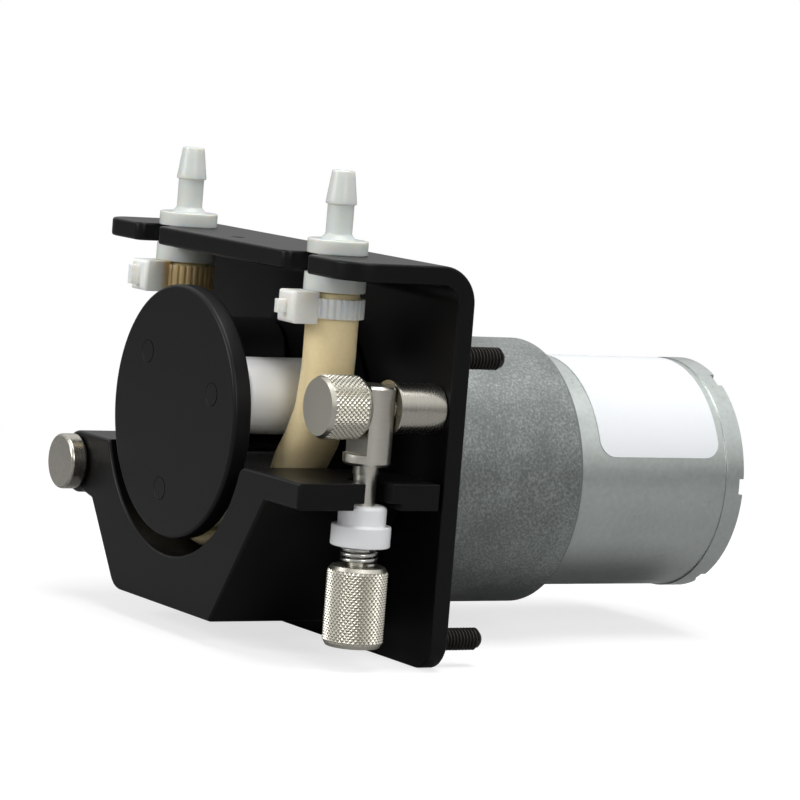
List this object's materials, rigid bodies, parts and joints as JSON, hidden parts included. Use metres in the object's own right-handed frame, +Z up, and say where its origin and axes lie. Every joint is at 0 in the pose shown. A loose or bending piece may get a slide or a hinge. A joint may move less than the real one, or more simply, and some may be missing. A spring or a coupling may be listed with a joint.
{
  "type": "peristaltic pump",
  "caption": "Panel-mounted peristaltic pump: bent plate with barbed hose fittings, roller rotor, hinged pressure jaw with swing-bolt clamp, round gearmotor behind.",
  "frame": {"origin": "back face of the mounting plate, on the axis of the gearbox and motor, which is the centre of the four panel screws", "axes": "-Y out of the front of the pump, +Y along the motor, +Z up past the hose fittings, +X to the right seen from the front"},
  "size_m": [0.0694, 0.0895, 0.0639],
  "materials": {
    "black_anodised": "satin",
    "black_screw": "satin",
    "nickel": "satin",
    "cast_zinc": "matte",
    "motor_steel": "satin",
    "steel": "polished",
    "natural_plastic": "translucent",
    "tie_nylon": "translucent",
    "tube_cream": "matte",
    "white_acetal": "satin",
    "black_acetal": "satin",
    "bronze": "satin",
    "magnet": "matte",
    "copper": "gloss",
    "label_white": "satin",
    "carbon": "matte"
  },
  "bodies": {
    "frame": {"mounting_plate": "black_anodised", "panel_screws": "black_screw", "gearbox_screws": "black_screw", "inlet_fitting": "natural_plastic", "outlet_fitting": "natural_plastic", "pump_tube": "tube_cream", "inlet_tie": "tie_nylon", "outlet_tie": "tie_nylon", "pivot_pin": "nickel", "clamp_post": "nickel", "post_washer": "nickel", "gearbox_cover": "cast_zinc", "gearbox_housing": "cast_zinc", "output_bushing": "bronze", "gear_pins": "steel", "motor_can": "motor_steel", "motor_screws": "steel", "motor_magnets": "magnet", "motor_brushes": "carbon", "motor_end_cap": "carbon", "motor_terminals": "nickel", "front_bearing": "bronze", "rear_bearing": "bronze", "motor_label": "label_white"},
    "rotor": {"rotor_body": "black_anodised", "rotor_front_disc": "black_anodised", "roller_pins": "black_anodised", "rotor_grub_screw": "black_screw", "output_shaft": "steel", "shaft_clip": "steel", "output_gear": "steel"},
    "roller_a": {"roller_1": "white_acetal"},
    "roller_b": {"roller_2": "black_acetal"},
    "roller_c": {"roller_3": "white_acetal"},
    "idler_a": {"idler_gear_1": "steel"},
    "idler_b": {"idler_gear_2": "steel"},
    "armature": {"motor_pinion": "bronze", "motor_shaft": "steel", "armature_core": "steel", "armature_windings": "copper", "commutator": "copper"},
    "jaw": {"pressure_jaw": "black_anodised", "jaw_bush": "bronze"},
    "swing_bolt": {"eye_bolt": "nickel"},
    "pressure_collar": {"spring_seat": "white_acetal", "clamp_spring": "steel"},
    "pressure_nut": {"clamp_nut": "nickel"},
    "thumb_knob": {"thumb_screw": "nickel"}
  },
  "joints": [
    {"name": "rotor_spin", "type": "hinge", "parent": "frame", "child": "rotor", "pos_m": [0, 0, 0.0073], "axis": [0, 1, 0], "continuous": true, "deforming": ["pump_tube"]},
    {"name": "idler_b_spin", "type": "hinge", "parent": "frame", "child": "idler_b", "pos_m": [0.009, 0, 0.00014], "axis": [0, 1, 0], "continuous": true},
    {"name": "idler_a_spin", "type": "hinge", "parent": "frame", "child": "idler_a", "pos_m": [0.00462, 0, -0.00772], "axis": [0, 1, 0], "continuous": true},
    {"name": "armature_spin", "type": "hinge", "parent": "frame", "child": "armature", "pos_m": [0, 0, 0], "axis": [0, 1, 0], "continuous": true},
    {"name": "roller_a_spin", "type": "hinge", "parent": "rotor", "child": "roller_a", "pos_m": [0.01031, 0, 0.01085], "axis": [0, 1, 0], "continuous": true},
    {"name": "roller_b_spin", "type": "hinge", "parent": "rotor", "child": "roller_b", "pos_m": [-0.00823, 0, 0.01445], "axis": [0, 1, 0], "continuous": true},
    {"name": "roller_c_spin", "type": "hinge", "parent": "rotor", "child": "roller_c", "pos_m": [-0.00208, 0, -0.0034], "axis": [0, 1, 0], "continuous": true},
    {"name": "jaw_pivot", "type": "hinge", "parent": "frame", "child": "jaw", "pos_m": [-0.0274, 0, -0.0032], "axis": [0, 1, 0], "range_deg": [0, 8], "deforming": ["pump_tube"]},
    {"name": "bolt_swing", "type": "hinge", "parent": "frame", "child": "swing_bolt", "pos_m": [0.0307, 0, 0.0119], "axis": [0, -1, 0], "range_deg": [0, 105]},
    {"name": "collar_slide", "type": "slide", "parent": "swing_bolt", "child": "pressure_collar", "axis": [0, 0, -1], "range_m": [0, 0.00866]},
    {"name": "nut_turn", "type": "hinge", "parent": "pressure_collar", "child": "pressure_nut", "pos_m": [0.0307, -0.01225, 0], "axis": [0, 0, 1], "continuous": true},
    {"name": "thumb_knob_turn", "type": "hinge", "parent": "frame", "child": "thumb_knob", "pos_m": [0.0307, 0, 0.0119], "axis": [0, 1, 0], "continuous": true}
  ],
  "couplings": [
    {"joint": "idler_b_spin", "follows": "rotor_spin", "ratio": -3.6},
    {"joint": "idler_a_spin", "follows": "rotor_spin", "ratio": 9.36},
    {"joint": "armature_spin", "follows": "rotor_spin", "ratio": -24.336},
    {"joint": "roller_a_spin", "follows": "rotor_spin", "ratio": -3.1372},
    {"joint": "roller_b_spin", "follows": "rotor_spin", "ratio": -3.1372},
    {"joint": "roller_c_spin", "follows": "rotor_spin", "ratio": -3.1372},
    {"joint": "collar_slide", "follows": "jaw_pivot", "m_per_rad": 0.062}
  ]
}
